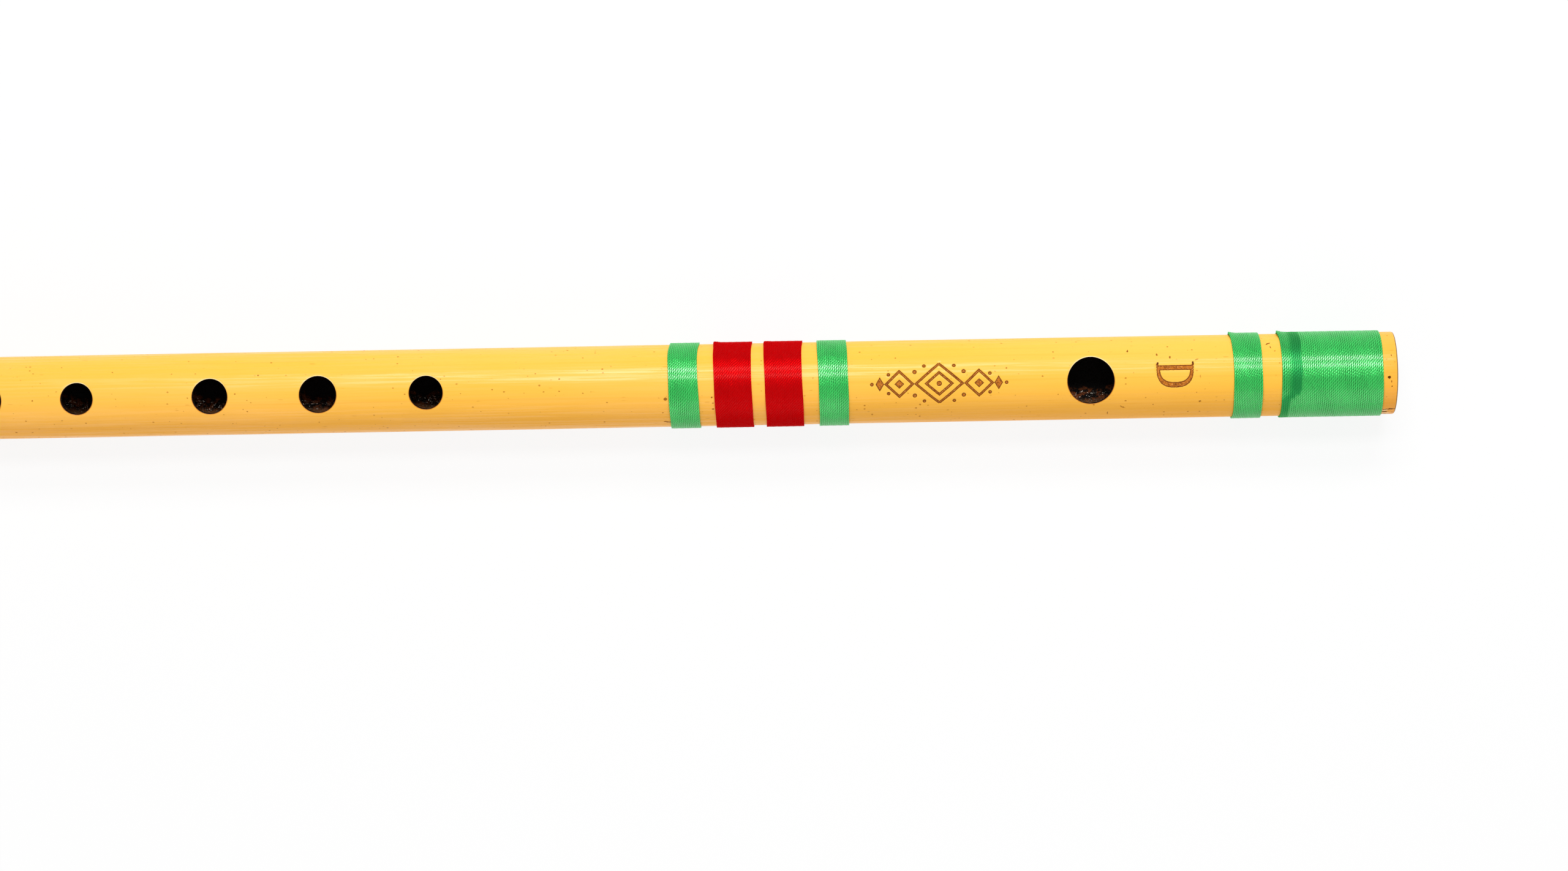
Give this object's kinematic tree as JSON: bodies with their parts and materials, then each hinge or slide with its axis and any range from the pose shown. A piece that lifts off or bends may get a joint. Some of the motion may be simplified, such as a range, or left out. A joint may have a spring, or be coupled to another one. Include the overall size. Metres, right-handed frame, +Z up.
{
  "type": "side-blown bamboo flute",
  "caption": "Bansuri: a bored bamboo tube with a blow hole, finger holes, a sliding cork and coloured thread bindings.",
  "frame": {"origin": "on the surface the flute lies on, under the middle of its length", "axes": "+X along the flute towards its head, +Z up out of the blow hole and finger holes, +Y across the flute"},
  "size_m": [0.4318, 0.0208, 0.0208],
  "materials": {
    "bamboo": "lacquered golden bamboo, satin gloss, scorched round the holes",
    "cork": "raw cork, matt",
    "green_thread": "shiny two-ply synthetic thread, close wound",
    "red_thread": "shiny two-ply synthetic thread, close wound"
  },
  "bodies": {
    "flute": {"bamboo_tube": "bamboo", "head_end_binding": "green_thread", "head_ring_binding": "green_thread", "middle_green_binding_head_side": "green_thread", "middle_red_binding_head_side": "red_thread", "middle_red_binding_foot_side": "red_thread", "middle_green_binding_foot_side": "green_thread", "foot_ring_binding": "green_thread", "foot_end_binding": "green_thread"},
    "stopper": {"cork_stopper": "cork"}
  },
  "joints": [
    {"name": "stopper_slide", "type": "slide", "parent": "flute", "child": "stopper", "axis": [1, 0, 0], "range_m": [-0.003, 0.003]}
  ]
}
